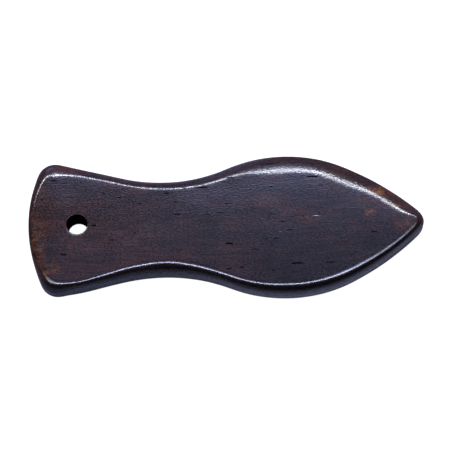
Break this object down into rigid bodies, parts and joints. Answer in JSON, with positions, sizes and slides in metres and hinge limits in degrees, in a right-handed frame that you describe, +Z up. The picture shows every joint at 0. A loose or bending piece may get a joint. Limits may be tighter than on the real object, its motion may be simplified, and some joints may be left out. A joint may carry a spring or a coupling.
{
  "type": "wood edge slicker",
  "caption": "Flat wooden leatherworking slicker with a flared grip, a hanging hole, a waist and a leaf-shaped rubbing blade with rounded edges and a blunt tip.",
  "frame": {"origin": "centre of the tool's length and width, on its lower broad face", "axes": "+X from the grip end to the blade's tip; +Y across the width; +Z up through the thickness"},
  "size_m": [0.127, 0.0474, 0.0095],
  "materials": {
    "lacquered_wood": "dark stained close-grained hardwood under a thin gloss lacquer"
  },
  "bodies": {
    "root": {"slicker_body": "lacquered_wood"}
  },
  "joints": []
}
